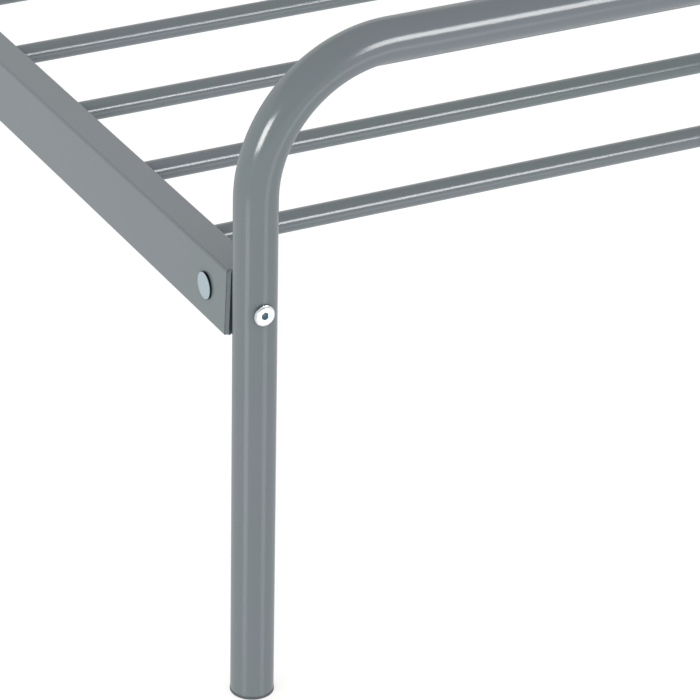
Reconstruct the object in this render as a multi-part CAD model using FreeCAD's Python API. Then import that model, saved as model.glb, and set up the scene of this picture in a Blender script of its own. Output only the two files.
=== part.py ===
"""Single metal bed frame: two bent-tube ends bolted to a welded base of two side rails and round slats.

Millimetres. The origin is on the floor under the middle of the bed, +Z up, +Y from the foot end to the
head end, +X to the sleeper's left when lying on the back with the head at +Y.
"""
import FreeCAD, Part
import math
import os

# ---------------------------------------------------------------- overall sizes
LEG_SPACING = 900.0            # between leg axes, across the bed
END_SPACING = 1942.0           # between leg axes, foot end to head end
FOOT_ARCH_HEIGHT = 497.0       # floor to the axis of the foot end's top bar
HEAD_ARCH_HEIGHT = 880.0       # floor to the axis of the head end's top bar
RAIL_TOP_HEIGHT = 339.0        # floor to the top face of the side rails

# ---------------------------------------------------------------- bent end tubes
LEG_DIAMETER = 31.8
LEG_WALL = 1.5
BEND_RADIUS = 102.0            # of the tube's axis at the two top corners

# ---------------------------------------------------------------- side rails, a rectangular tube on edge
RAIL_HEIGHT = 50.8
RAIL_WIDTH = 25.4
RAIL_WALL = 1.2
RAIL_CORNER_RADIUS = 2.0
RAIL_OFFSET = 4.4              # the rail's middle plane lies this far outside the leg's axis

# ---------------------------------------------------------------- slats
SLAT_DIAMETER = 15.9
SLAT_WALL = 1.2
SLAT_COUNT = 16
FIRST_SLAT_OFFSET = 83.5       # leg axis to the axis of the slat nearest each end
SLAT_DROP = 2.0                # top of a slat below the rail's top face

# ---------------------------------------------------------------- saddles welded on the rail ends
SADDLE_THICKNESS = 3.0
SADDLE_EASE = 4.5              # its inner radius is this much larger than the leg's, so it bears on one line
SADDLE_INSET = 0.4             # its outer edge stands this far inside the rail's outer face
SADDLE_CORNER_RADIUS = 3.0
SADDLE_HOLE_DIAMETER = 9.0

# ---------------------------------------------------------------- joint bolts and barrel nuts
BOLT_DIAMETER = 8.0
BOLT_LENGTH = 70.0             # under the head
BOLT_HEAD_DIAMETER = 16.0
BOLT_HEAD_THICKNESS = 2.2
BOLT_HEAD_CHAMFER = 0.6
BOLT_TIP_CHAMFER = 1.0
BOLT_SOCKET_ACROSS_FLATS = 5.0
BOLT_SOCKET_DEPTH = 4.0
BOLT_HOLE_CLEARANCE = 0.3      # radial, in the leg
NUT_OFFSET = 43.6              # leg axis to the barrel nut's axis
NUT_DIAMETER = 13.0
NUT_HOLE_CLEARANCE = 0.2       # radial, in the rail's outer wall
NUT_END_CLEARANCE = 0.4        # between the barrel's end and the rail's inner wall
NUT_HEAD_DIAMETER = 20.5
NUT_HEAD_THICKNESS = 1.8
NUT_HEAD_CHAMFER = 0.35
THREAD_CLEARANCE = 0.05        # radial, between the bolt's plain shank and the nut's plain hole

# ---------------------------------------------------------------- plastic plugs in the leg ends
PLUG_FLANGE_THICKNESS = 2.6
PLUG_FLANGE_PROUD = 0.3        # radial, beyond the tube
PLUG_FLANGE_ROUNDING = 1.0
PLUG_STEM_LENGTH = 18.0
PLUG_STEM_CLEARANCE = 0.9      # radial, between the stem and the tube's bore
PLUG_FIN_CLEARANCE = 0.05      # radial, between the fins and the tube's bore
PLUG_FIN_COUNT = 3
PLUG_FIN_THICKNESS = 1.4
PLUG_STEM_WALL = 2.0

# ---------------------------------------------------------------- cross tubes of the head end
HEAD_CROSS_DIAMETER = 15.9
HEAD_CROSS_WALL = 1.2
HEAD_CROSS_COUNT = 2

# ---------------------------------------------------------------- limits of the modelling
TOLERANCE = 0.01               # for telling edges apart by their size, place or direction
SMALLEST_CORNER_RADIUS = 0.1   # of the rail's bore, however thick its wall is

# ---------------------------------------------------------------- worked out from the sizes above
LEG_RADIUS = LEG_DIAMETER / 2
LEG_BORE_RADIUS = LEG_RADIUS - LEG_WALL
LEG_X = LEG_SPACING / 2
END_Y = END_SPACING / 2
RAIL_OUTER_X = LEG_X + RAIL_OFFSET + RAIL_WIDTH / 2
RAIL_INNER_X = RAIL_OUTER_X - RAIL_WIDTH
RAIL_BOTTOM_HEIGHT = RAIL_TOP_HEIGHT - RAIL_HEIGHT
BOLT_HEIGHT = RAIL_TOP_HEIGHT - RAIL_HEIGHT / 2
BOLT_RADIUS = BOLT_DIAMETER / 2
SLAT_Z = RAIL_TOP_HEIGHT - SLAT_DROP - SLAT_DIAMETER / 2
SLAT_PITCH = (END_SPACING - 2 * FIRST_SLAT_OFFSET) / (SLAT_COUNT - 1)
SADDLE_INNER_RADIUS = LEG_RADIUS + SADDLE_EASE
SADDLE_OUTER_RADIUS = SADDLE_INNER_RADIUS + SADDLE_THICKNESS
SADDLE_HALF_WIDTH = RAIL_OUTER_X - LEG_X - SADDLE_INSET

SIDES = {"left": 1, "right": -1}
ENDS = {"foot": -1, "head": 1}

X_AXIS = FreeCAD.Vector(1, 0, 0)
Y_AXIS = FreeCAD.Vector(0, 1, 0)
Z_AXIS = FreeCAD.Vector(0, 0, 1)


def point(x, y, z):
    return FreeCAD.Vector(x, y, z)


def cylinder(radius, length, start, direction):
    return Part.makeCylinder(radius, length, start, direction)


def straight_tube(radius, wall, length, start, direction):
    """A round tube with open ends."""
    return cylinder(radius, length, start, direction).cut(cylinder(radius - wall, length, start, direction))


def upright_slab(outline_points, bottom, height):
    """A prism on the given outline of (x, y) points, standing between bottom and bottom + height."""
    outline = [point(x, y, bottom) for x, y in outline_points]
    face = Part.Face(Part.makePolygon(outline + outline[:1]))
    return face.extrude(Z_AXIS * height)


# ---------------------------------------------------------------- bent end tubes
def arch_path(y, foot_height, top_height):
    """The axis of a bent end: up one leg, round the bend, across, round the other bend and down."""
    leg_top = top_height - BEND_RADIUS
    inset = BEND_RADIUS * (1 - math.cos(math.radians(45)))
    bend_start_x = LEG_X - BEND_RADIUS
    left_leg = Part.LineSegment(point(LEG_X, y, foot_height), point(LEG_X, y, leg_top))
    left_bend = Part.Arc(point(LEG_X, y, leg_top), point(LEG_X - inset, y, top_height - inset),
                         point(bend_start_x, y, top_height))
    top_bar = Part.LineSegment(point(bend_start_x, y, top_height), point(-bend_start_x, y, top_height))
    right_bend = Part.Arc(point(-bend_start_x, y, top_height), point(inset - LEG_X, y, top_height - inset),
                          point(-LEG_X, y, leg_top))
    right_leg = Part.LineSegment(point(-LEG_X, y, leg_top), point(-LEG_X, y, foot_height))
    return Part.Wire([curve.toShape() for curve in (left_leg, left_bend, top_bar, right_bend, right_leg)])


def swept_along(path, start, radius):
    ring = Part.Wire(Part.makeCircle(radius, start, Z_AXIS))
    return path.makePipeShell([ring], True, True)


def arch_tube(end, top_height):
    """A bent end tube, drilled for its two joint bolts."""
    y = ENDS[end] * END_Y
    path = arch_path(y, PLUG_FLANGE_THICKNESS, top_height)
    start = point(LEG_X, y, PLUG_FLANGE_THICKNESS)
    tube = swept_along(path, start, LEG_RADIUS).cut(swept_along(path, start, LEG_BORE_RADIUS))
    for side in SIDES.values():
        drill_start = point(side * LEG_X, y - LEG_DIAMETER, BOLT_HEIGHT)
        tube = tube.cut(cylinder(BOLT_RADIUS + BOLT_HOLE_CLEARANCE, 2 * LEG_DIAMETER, drill_start, Y_AXIS))
    return tube


def head_cross_tube(index):
    """A cross tube of the head end, its ends shaped to the legs that it is welded to."""
    y = ENDS["head"] * END_Y
    lowest = FOOT_ARCH_HEIGHT
    gap = (HEAD_ARCH_HEIGHT - lowest) / HEAD_CROSS_COUNT
    z = lowest + index * gap
    tube = straight_tube(HEAD_CROSS_DIAMETER / 2, HEAD_CROSS_WALL, LEG_SPACING, point(-LEG_X, y, z), X_AXIS)
    for side in SIDES.values():
        tube = tube.cut(cylinder(LEG_RADIUS, HEAD_ARCH_HEIGHT, point(side * LEG_X, y, 0), Z_AXIS))
    return tube


# ---------------------------------------------------------------- the welded base
def rounded_bar(x_low, z_low, width, height, corner_radius):
    """A solid bar of rounded rectangular section, from one leg axis to the other along Y."""
    bar = Part.makeBox(width, END_SPACING, height, point(x_low, -END_Y, z_low))
    long_edges = [edge for edge in bar.Edges
                  if abs(edge.tangentAt(edge.FirstParameter).dot(Y_AXIS)) > 1 - TOLERANCE]
    return bar.makeFillet(corner_radius, long_edges)


def saddle_axis(side, end):
    """The saddle bears on the leg's inward side, so its axis lies outside the leg's axis."""
    return point(side * LEG_X, ENDS[end] * (END_Y + SADDLE_EASE), 0)


def side_rail(side):
    """A rectangular tube, its ends shaped to the saddles and its outer wall drilled for the barrel nuts."""
    x_low = min(side * RAIL_OUTER_X, side * RAIL_INNER_X)
    inner_radius = max(RAIL_CORNER_RADIUS - RAIL_WALL, SMALLEST_CORNER_RADIUS)
    rail = rounded_bar(x_low, RAIL_BOTTOM_HEIGHT, RAIL_WIDTH, RAIL_HEIGHT, RAIL_CORNER_RADIUS)
    rail = rail.cut(rounded_bar(x_low + RAIL_WALL, RAIL_BOTTOM_HEIGHT + RAIL_WALL, RAIL_WIDTH - 2 * RAIL_WALL,
                                RAIL_HEIGHT - 2 * RAIL_WALL, inner_radius))
    for end in ENDS:
        rail = rail.cut(cylinder(SADDLE_OUTER_RADIUS, RAIL_TOP_HEIGHT * 2, saddle_axis(side, end), Z_AXIS))
        drill_start = point(side * (RAIL_OUTER_X - RAIL_WIDTH / 2), nut_y(end), BOLT_HEIGHT)
        hole_radius = NUT_DIAMETER / 2 + NUT_HOLE_CLEARANCE
        rail = rail.cut(cylinder(hole_radius, RAIL_WIDTH, drill_start, X_AXIS * side))
    return rail


def rail_saddle(side, end):
    """A curved plate between a rail's end and the leg, with a hole for the joint bolt."""
    axis = saddle_axis(side, end) + point(0, 0, RAIL_BOTTOM_HEIGHT)
    plate = straight_tube(SADDLE_OUTER_RADIUS, SADDLE_THICKNESS, RAIL_HEIGHT, axis, Z_AXIS)
    reach = 2 * SADDLE_OUTER_RADIUS
    half_angle = math.asin(SADDLE_HALF_WIDTH / SADDLE_OUTER_RADIUS)
    corner_x = reach * math.tan(half_angle)
    inward = -ENDS[end]
    wedge_points = [(axis.x, axis.y), (axis.x + corner_x, axis.y + inward * reach),
                    (axis.x - corner_x, axis.y + inward * reach)]
    plate = plate.common(upright_slab(wedge_points, RAIL_BOTTOM_HEIGHT, RAIL_HEIGHT))
    corner_edges = [edge for edge in plate.Edges
                    if abs(edge.Length - SADDLE_THICKNESS) < TOLERANCE and edge.BoundBox.ZLength < TOLERANCE]
    plate = plate.makeFillet(SADDLE_CORNER_RADIUS, corner_edges)
    hole_start = point(axis.x, axis.y, BOLT_HEIGHT)
    return plate.cut(cylinder(SADDLE_HOLE_DIAMETER / 2, reach, hole_start, Y_AXIS * inward))


def slat(index):
    """A round tube between the two rails' inner faces."""
    y = -END_Y + FIRST_SLAT_OFFSET + index * SLAT_PITCH
    start = point(-RAIL_INNER_X, y, SLAT_Z)
    return straight_tube(SLAT_DIAMETER / 2, SLAT_WALL, 2 * RAIL_INNER_X, start, X_AXIS)


# ---------------------------------------------------------------- fasteners
def nut_y(end):
    return ENDS[end] * (END_Y - NUT_OFFSET)


def chamfered_disc(radius, thickness, chamfer, start, direction):
    """A disc whose far face is chamfered."""
    rim_height = thickness - chamfer
    rim = cylinder(radius, rim_height, start, direction)
    face = Part.makeCone(radius, radius - chamfer, chamfer, start + direction * rim_height, direction)
    return rim.fuse(face).removeSplitter()


def hexagon(across_flats, depth, start, direction):
    """A hexagonal prism from start along the Y axis."""
    corner = across_flats / math.sqrt(3)
    angles = [math.radians(60 * step) for step in range(6)]
    corners = [start + point(corner * math.sin(angle), 0, corner * math.cos(angle)) for angle in angles]
    return Part.Face(Part.makePolygon(corners + corners[:1])).extrude(direction * depth)


def joint_bolt(side, end):
    """A flat-headed socket bolt through the leg and the saddle into the barrel nut."""
    outward = Y_AXIS * ENDS[end]
    seat = point(side * LEG_X, ENDS[end] * (END_Y + LEG_RADIUS), BOLT_HEIGHT)
    head = chamfered_disc(BOLT_HEAD_DIAMETER / 2, BOLT_HEAD_THICKNESS, BOLT_HEAD_CHAMFER, seat, outward)
    shank = cylinder(BOLT_RADIUS, BOLT_LENGTH - BOLT_TIP_CHAMFER, seat, outward * -1)
    tip = Part.makeCone(BOLT_RADIUS, BOLT_RADIUS - BOLT_TIP_CHAMFER, BOLT_TIP_CHAMFER,
                        seat - outward * (BOLT_LENGTH - BOLT_TIP_CHAMFER), outward * -1)
    head_face = seat + outward * BOLT_HEAD_THICKNESS
    socket = hexagon(BOLT_SOCKET_ACROSS_FLATS, BOLT_SOCKET_DEPTH, head_face, outward * -1)
    return head.fuse([shank, tip]).cut(socket).removeSplitter()


def barrel_nut(side, end):
    """A disc-headed barrel nut through the rail's outer wall, cross-drilled for the joint bolt."""
    outward = X_AXIS * side
    seat = point(side * RAIL_OUTER_X, nut_y(end), BOLT_HEIGHT)
    barrel_length = RAIL_WIDTH - RAIL_WALL - NUT_END_CLEARANCE
    barrel = cylinder(NUT_DIAMETER / 2, barrel_length, seat, outward * -1)
    head = chamfered_disc(NUT_HEAD_DIAMETER / 2, NUT_HEAD_THICKNESS, NUT_HEAD_CHAMFER, seat, outward)
    cross_start = point(side * LEG_X, nut_y(end) - NUT_DIAMETER, BOLT_HEIGHT)
    cross_hole = cylinder(BOLT_RADIUS + THREAD_CLEARANCE, 2 * NUT_DIAMETER, cross_start, Y_AXIS)
    return barrel.fuse(head).cut(cross_hole)


def foot_plug(side, end):
    """A finned plug in a leg's open end, its flange between the tube and the floor."""
    base = point(side * LEG_X, ENDS[end] * END_Y, 0)
    flange = cylinder(LEG_RADIUS + PLUG_FLANGE_PROUD, PLUG_FLANGE_THICKNESS, base, Z_AXIS)
    lowest_edges = [edge for edge in flange.Edges if edge.BoundBox.ZMax < TOLERANCE]
    flange = flange.makeFillet(PLUG_FLANGE_ROUNDING, lowest_edges)
    stem_radius = LEG_BORE_RADIUS - PLUG_STEM_CLEARANCE
    stem_start = base + point(0, 0, PLUG_FLANGE_THICKNESS)
    pieces = [cylinder(stem_radius, PLUG_STEM_LENGTH, stem_start, Z_AXIS)]
    fin_pitch = PLUG_STEM_LENGTH / (PLUG_FIN_COUNT + 1)
    for fin in range(1, PLUG_FIN_COUNT + 1):
        fin_start = stem_start + point(0, 0, fin * fin_pitch - PLUG_FIN_THICKNESS / 2)
        pieces.append(cylinder(LEG_BORE_RADIUS - PLUG_FIN_CLEARANCE, PLUG_FIN_THICKNESS, fin_start, Z_AXIS))
    plug = flange.fuse(pieces).removeSplitter()
    return plug.cut(cylinder(stem_radius - PLUG_STEM_WALL, PLUG_STEM_LENGTH, stem_start, Z_AXIS))


def all_parts():
    """Every sub-part, by the name of its node."""
    parts = {"foot_arch_tube": arch_tube("foot", FOOT_ARCH_HEIGHT),
             "head_arch_tube": arch_tube("head", HEAD_ARCH_HEIGHT)}
    for index in range(HEAD_CROSS_COUNT):
        parts[f"head_cross_tube_{index + 1}"] = head_cross_tube(index)
    for index in range(SLAT_COUNT):
        parts[f"slat_{index + 1:02d}"] = slat(index)
    for side_name, side in SIDES.items():
        parts[f"side_rail_{side_name}"] = side_rail(side)
        for end in ENDS:
            place = f"{end}_{side_name}"
            parts[f"rail_saddle_{place}"] = rail_saddle(side, end)
            parts[f"joint_bolt_{place}"] = joint_bolt(side, end)
            parts[f"barrel_nut_{place}"] = barrel_nut(side, end)
            parts[f"foot_plug_{place}"] = foot_plug(side, end)
    return parts


os.makedirs("parts", exist_ok=True)
for name, shape in all_parts().items():
    print(f"{name}: {len(shape.Solids)} solid, volume {shape.Volume:.0f} mm3, valid {shape.isValid()}")
    shape.exportStep(f"parts/{name}.step")
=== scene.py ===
"""A single metal bed frame: two bent-tube ends, two side rails, sixteen slats, and what joins them.

Metres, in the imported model's frame: the floor is z = 0, +Y runs from the foot end to the head end.
"""
import math

import bmesh
import bpy
from bpy.props import FloatProperty, FloatVectorProperty, IntProperty, PointerProperty
from mathutils import Matrix, Vector


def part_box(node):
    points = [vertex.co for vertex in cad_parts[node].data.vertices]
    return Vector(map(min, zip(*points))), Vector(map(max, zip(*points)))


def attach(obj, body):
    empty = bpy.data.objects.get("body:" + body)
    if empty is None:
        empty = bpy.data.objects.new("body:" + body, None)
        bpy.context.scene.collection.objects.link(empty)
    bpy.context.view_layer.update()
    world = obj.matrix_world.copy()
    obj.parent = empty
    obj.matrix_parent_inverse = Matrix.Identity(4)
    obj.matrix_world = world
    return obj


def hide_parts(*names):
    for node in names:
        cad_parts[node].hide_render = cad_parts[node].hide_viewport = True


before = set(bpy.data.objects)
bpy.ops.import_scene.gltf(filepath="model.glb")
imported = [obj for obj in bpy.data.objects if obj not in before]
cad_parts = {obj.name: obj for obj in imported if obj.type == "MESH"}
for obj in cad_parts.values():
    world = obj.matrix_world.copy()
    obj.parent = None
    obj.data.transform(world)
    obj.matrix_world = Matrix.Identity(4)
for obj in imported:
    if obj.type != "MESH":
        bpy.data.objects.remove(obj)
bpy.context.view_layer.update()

bl_info = {
    "name": "Metal Bed Frame",
    "version": (1, 0, 0),
    "blender": (4, 5, 0),
    "location": "3D View > Sidebar > Bed Frame",
    "description": "Builds a single bed frame of bent steel tube, with its fasteners, finishes and studio",
    "category": "Add Mesh",
}


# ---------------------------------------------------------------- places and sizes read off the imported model
def measured(value):
    """A length to the nearest tenth of a millimetre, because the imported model's curves are faceted."""
    return round(value, 4)


def extent(node):
    """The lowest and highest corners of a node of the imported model."""
    low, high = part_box(node)
    return Vector([measured(value) for value in low]), Vector([measured(value) for value in high])


FOOT_LOW, FOOT_HIGH = extent("foot_arch_tube")
HEAD_HIGH = extent("head_arch_tube")[1]
LEG_DIAMETER = measured(FOOT_HIGH.y - FOOT_LOW.y)
LEG_RADIUS = LEG_DIAMETER / 2
LEG_X = FOOT_HIGH.x - LEG_RADIUS
END_Y = HEAD_HIGH.y - LEG_RADIUS
LEG_BOTTOM = FOOT_LOW.z
FOOT_ARCH_HEIGHT = FOOT_HIGH.z - LEG_RADIUS
HEAD_ARCH_HEIGHT = HEAD_HIGH.z - LEG_RADIUS

RAIL_LOW, RAIL_HIGH = extent("side_rail_left")
RAIL_INNER_X = RAIL_LOW.x
RAIL_OUTER_X = RAIL_HIGH.x

SLAT_NODES = sorted(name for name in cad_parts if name.startswith("slat_"))
SLAT_LOW, SLAT_HIGH = extent(SLAT_NODES[0])
LAST_SLAT_LOW = extent(SLAT_NODES[-1])[0]
SLAT_PITCH = (LAST_SLAT_LOW.y - SLAT_LOW.y) / (len(SLAT_NODES) - 1)

CROSS_NODES = sorted(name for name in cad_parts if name.startswith("head_cross_tube_"))
CROSS_LOW, CROSS_HIGH = extent(CROSS_NODES[0])
LAST_CROSS_LOW = extent(CROSS_NODES[-1])[0]
CROSS_PITCH = (LAST_CROSS_LOW.z - CROSS_LOW.z) / (len(CROSS_NODES) - 1)

SADDLE_LOW, SADDLE_HIGH = extent("rail_saddle_head_left")
BOLT_LOW, BOLT_HIGH = extent("joint_bolt_head_left")
NUT_LOW, NUT_HIGH = extent("barrel_nut_head_left")
PLUG_LOW, PLUG_HIGH = extent("foot_plug_head_left")
BOLT_HEIGHT = (BOLT_LOW.z + BOLT_HIGH.z) / 2
NUT_Y = (NUT_LOW.y + NUT_HIGH.y) / 2
NUT_RADIUS = (NUT_HIGH.z - NUT_LOW.z) / 2
BOLT_RADIUS = (BOLT_HIGH.x - BOLT_LOW.x) / 2
BOLT_FACE_RADIUS = 0.0066

PLACES = ["foot_left", "foot_right", "head_left", "head_right"]


# ---------------------------------------------------------------- settings
def length(name, description, default, low=0.0):
    """A property for a length in metres."""
    return FloatProperty(name=name, description=description, default=default, min=low, unit="LENGTH",
                         subtype="DISTANCE", precision=5)


def share(name, description, default):
    """A property between nothing and all."""
    return FloatProperty(name=name, description=description, default=default, min=0.0, max=1.0,
                         subtype="FACTOR")


def colour(name, description, default):
    """A property for a colour, given as red, green and blue light."""
    return FloatVectorProperty(name=name, description=description, default=default, min=0.0, max=1.0,
                               size=3, subtype="COLOR")


def angle(name, description, degrees):
    """A property for an angle, given in degrees and kept in radians."""
    return FloatProperty(name=name, description=description, default=math.radians(degrees),
                         unit="ROTATION", subtype="ANGLE")


class BedEndSettings(bpy.types.PropertyGroup):
    """Sizes of the two bent-tube ends."""
    tube_diameter: length("Tube diameter", "Outside diameter of the bent tube", LEG_DIAMETER, 0.005)
    tube_wall: length("Tube wall", "Thickness of the bent tube's wall", 0.0015, 0.0005)
    bend_radius: length("Bend radius", "Radius of the tube's centre line at the top corners", 0.102, 0.03)
    facets: IntProperty(name="Facets", description="Faces round the bent tube", default=64, min=16, max=128)
    ring_spacing: length("Ring spacing", "Distance between the tube's rings of faces", 0.004, 0.001)
    dent_depth: length("Dent depth", "How far a tightened bolt pulls the tube's wall in", 0.0004)
    dent_reach: length("Dent reach", "Radius of that dent", 0.018, 0.001)
    cross_diameter: length("Cross tube diameter", "Outside diameter of the head end's cross tubes",
                           measured(CROSS_HIGH.z - CROSS_LOW.z), 0.004)
    cross_wall: length("Cross tube wall", "Thickness of the cross tubes' walls", 0.0012, 0.0005)


class BedBaseSettings(bpy.types.PropertyGroup):
    """Sizes of the welded base: rails, saddles and slats."""
    rail_wall: length("Rail wall", "Thickness of the side rails' walls", 0.0012, 0.0005)
    rail_corner: length("Rail corner", "Outside radius of the side rails' corners", 0.002, 0.0005)
    slat_diameter: length("Slat diameter", "Outside diameter of the slats",
                          measured(SLAT_HIGH.z - SLAT_LOW.z), 0.004)
    slat_wall: length("Slat wall", "Thickness of the slats' walls", 0.0012, 0.0005)
    saddle_thickness: length("Saddle thickness", "Thickness of the plates on the rails' ends", 0.003, 0.001)
    saddle_ease: length("Saddle ease", "How much larger than the leg the saddle's hollow is", 0.0045)
    saddle_corner: length("Saddle corner", "Radius of the saddle's four corners", 0.003, 0.0005)
    saddle_slant: length("Saddle slant", "How far the saddles' cut edges lean in, towards the leg", 0.0004)
    lean_top: length("Lean at the top", "How far the bolts pull a rail's top edge in at its ends", 0.0006)
    lean_bottom: length("Lean at the bottom", "How far they push its bottom edge out there", 0.0011)
    lean_reach: length("Lean reach", "Length of rail over which that lean fades", 0.45, 0.01)
    weld_radius: length("Weld radius", "Half the thickness of a weld bead", 0.0016, 0.0005)
    weld_ripple: share("Weld ripple", "How much the bead's thickness varies along its ripples", 0.16)


class FastenerSettings(bpy.types.PropertyGroup):
    """Sizes of the bolts, barrel nuts and foot plugs."""
    bolt_diameter: length("Bolt diameter", "Diameter of the joint bolts' shanks", 0.008, 0.002)
    bolt_off_centre: length("Bolt off centre", "How far outwards of the leg's middle its bolt sits", 0.0009)
    bolt_head_thickness: length("Bolt head thickness", "Thickness of the flat heads", 0.0022, 0.0005)
    bolt_head_chamfer: length("Bolt head chamfer", "Bevel round the heads' faces", 0.0006, 0.0001)
    bolt_face_radius: length("Bolt face radius", "Radius of the raised flat on a head",
                             BOLT_FACE_RADIUS, 0.002)
    bolt_face_step: length("Bolt face step", "Height of that flat above the head's shoulder", 0.0005, 0.0001)
    socket_across_flats: length("Socket size", "Hexagon key size, across its flats", 0.005, 0.001)
    socket_depth: length("Socket depth", "Depth of the hexagonal socket", 0.004, 0.0005)
    nut_barrel_diameter: length("Nut barrel diameter", "Diameter of the barrel inside the rail",
                                0.013, 0.003)
    nut_head_thickness: length("Nut head thickness", "Thickness of the disc on the rail", 0.0018, 0.0004)
    nut_head_chamfer: length("Nut head chamfer", "Bevel round the disc's face", 0.00035, 0.0001)
    plug_rounding: length("Plug rounding", "Radius of the foot plug's lower edge", 0.001, 0.0001)
    plug_fin: length("Plug fin", "Thickness of each of the three fins on the plug's stem", 0.0014, 0.0003)
    plug_wall: length("Plug wall", "Thickness of the plug's hollow stem", 0.002, 0.0005)


class FinishSettings(bpy.types.PropertyGroup):
    """Colours and surfaces of the four finishes."""
    paint: colour("Paint", "Colour of the grey powder coat", (0.185, 0.2205, 0.232))
    paint_tint: colour("Paint tint", "Colour that the coat drifts to here and there", (0.193, 0.2165, 0.243))
    paint_roughness: share("Paint roughness", "Roughness of the powder coat", 0.17)
    peel_depth: length("Orange peel depth", "Height of the coat's fine ripple", 0.000006)
    bolt_zinc: colour("Bolt zinc", "Colour of the bright zinc on the bolts", (0.84, 0.88, 0.89))
    nut_zinc: colour("Nut zinc", "Colour of the blue zinc on the barrel nuts", (0.57, 0.71, 0.765))
    plug_plastic: colour("Plug plastic", "Colour of the moulded foot plugs", (0.1, 0.112, 0.122))


class StudioSettings(bpy.types.PropertyGroup):
    """The floor, the lights and the camera."""
    ambient: FloatProperty(name="Ambient", description="Brightness of the room as the bed sees it",
                           default=0.83, min=0.0)
    overhead: colour("Overhead", "Colour of the room's light from above", (1.0, 1.0, 0.95))
    floor_glow: FloatProperty(name="Floor glow", description="Light that the floor gives by itself",
                              default=0.56, min=0.0)
    floor_albedo: share("Floor albedo", "Share of the falling light that the floor scatters back", 0.55)
    floor_sheen: share("Floor sheen", "Share of light that the floor mirrors", 0.105)
    behind: FloatProperty(name="Behind", description="Brightness of the back in shiny surfaces",
                          default=0.78, min=0.0)
    floor_shine: FloatProperty(name="Floor shine", description="Brightness of the floor in shiny surfaces",
                               default=0.72, min=0.0)
    dim: FloatProperty(name="Dim", description="Brightness in shiny surfaces of the front and the ceiling",
                       default=0.25, min=0.0)
    shine: FloatProperty(name="Shine", description="Power of the right light, as shiny surfaces mirror it",
                         default=43.0, min=0.0, unit="POWER")
    left_shine: FloatProperty(name="Left shine", description="Power of the left light in shiny surfaces",
                              default=58.0, min=0.0, unit="POWER")
    fill: FloatProperty(name="Fill", description="Power of the right light, as it shades the bed",
                        default=1.5, min=0.0, unit="POWER")
    left_fill: FloatProperty(name="Left fill", description="Power of the left light, as it shades the bed",
                             default=10.5, min=0.0, unit="POWER")
    lens: FloatProperty(name="Lens", description="Focal length of the camera, in millimetres",
                        default=218.56)
    azimuth: angle("Azimuth", "Turn of the camera round the bed, 0 looking along +Y", -27.817)
    elevation: angle("Elevation", "Height of the camera above the horizon", 27.35)
    roll: angle("Roll", "Turn of the camera about its own axis", 1.138)
    distance: length("Distance", "From the camera to the point that it looks at", 3.0187, 0.1)


# ---------------------------------------------------------------- node trees
class Wire:
    """An output socket that Python's arithmetic works on, by adding Math nodes to its tree."""

    def __init__(self, graph, socket):
        self.graph = graph
        self.socket = socket

    def __getitem__(self, output):
        """Another output of the node that this wire leaves."""
        return Wire(self.graph, self.socket.node.outputs[output])

    def __add__(self, other):
        return self.graph.maths("ADD", self, other)

    def __sub__(self, other):
        return self.graph.maths("SUBTRACT", self, other)

    def __rsub__(self, other):
        return self.graph.maths("SUBTRACT", other, self)

    def __mul__(self, other):
        return self.graph.maths("MULTIPLY", self, other)

    def __truediv__(self, other):
        return self.graph.maths("DIVIDE", self, other)

    def __rtruediv__(self, other):
        return self.graph.maths("DIVIDE", other, self)

    def __pow__(self, other):
        return self.graph.maths("POWER", self, other)

    def __gt__(self, other):
        return self.graph.maths("GREATER_THAN", self, other)

    def __lt__(self, other):
        return self.graph.maths("LESS_THAN", self, other)

    __radd__ = __add__
    __rmul__ = __mul__


class Graph:
    """A node tree under construction."""

    def __init__(self, tree):
        self.tree = tree
        tree.nodes.clear()

    def add(self, kind, settings=None, sockets=None, output=0):
        """Adds a node, makes its settings, then sets or links its sockets, and gives one of its outputs."""
        node = self.tree.nodes.new(kind)
        for name, value in (settings or {}).items():
            setattr(node, name, value)
        for name, value in (sockets or {}).items():
            if isinstance(value, Wire):
                self.tree.links.new(value.socket, node.inputs[name])
            else:
                node.inputs[name].default_value = value
        return Wire(self, node.outputs[output]) if len(node.outputs) else node

    def maths(self, operation, first, second=0.0):
        return self.add("ShaderNodeMath", {"operation": operation}, {0: first, 1: second})

    def smooth_step(self, value, low, high):
        """Rises smoothly from 0 where the value is low to 1 where it is high."""
        return self.add("ShaderNodeMapRange", {"interpolation_type": "SMOOTHSTEP"},
                        {"Value": value, "From Min": low, "From Max": high})

    def point(self, x, y, z):
        return self.add("ShaderNodeCombineXYZ", {}, {"X": x, "Y": y, "Z": z})

    def blend(self, factor, first, second):
        """A colour between two colours."""
        return self.add("ShaderNodeMix", {"data_type": "RGBA"}, {0: factor, 6: first, 7: second}, output=2)


SOCKET_KINDS = {"Geometry": "NodeSocketGeometry", "Material": "NodeSocketMaterial",
                "Count": "NodeSocketInt", "Facets": "NodeSocketInt", "Seed": "NodeSocketInt",
                "First": "NodeSocketVector", "Step": "NodeSocketVector"}


def geometry_graph(name, inputs):
    """A new Geometry Nodes tree with named inputs, and the wire of its Group Input node."""
    tree = bpy.data.node_groups.new(name, "GeometryNodeTree")
    for input_name in inputs:
        kind = SOCKET_KINDS.get(input_name, "NodeSocketFloat")
        tree.interface.new_socket(name=input_name, in_out="INPUT", socket_type=kind)
    tree.interface.new_socket(name="Geometry", in_out="OUTPUT", socket_type="NodeSocketGeometry")
    graph = Graph(tree)
    return graph, graph.add("NodeGroupInput")


def finish_graph(graph, geometry, sizes):
    """Ends a tree in real geometry with its material."""
    real = graph.add("GeometryNodeRealizeInstances", {}, {"Geometry": geometry})
    painted = graph.add("GeometryNodeSetMaterial", {}, {"Geometry": real, "Material": sizes["Material"]})
    graph.add("NodeGroupOutput", {}, {"Geometry": painted})
    return graph.tree


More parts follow.
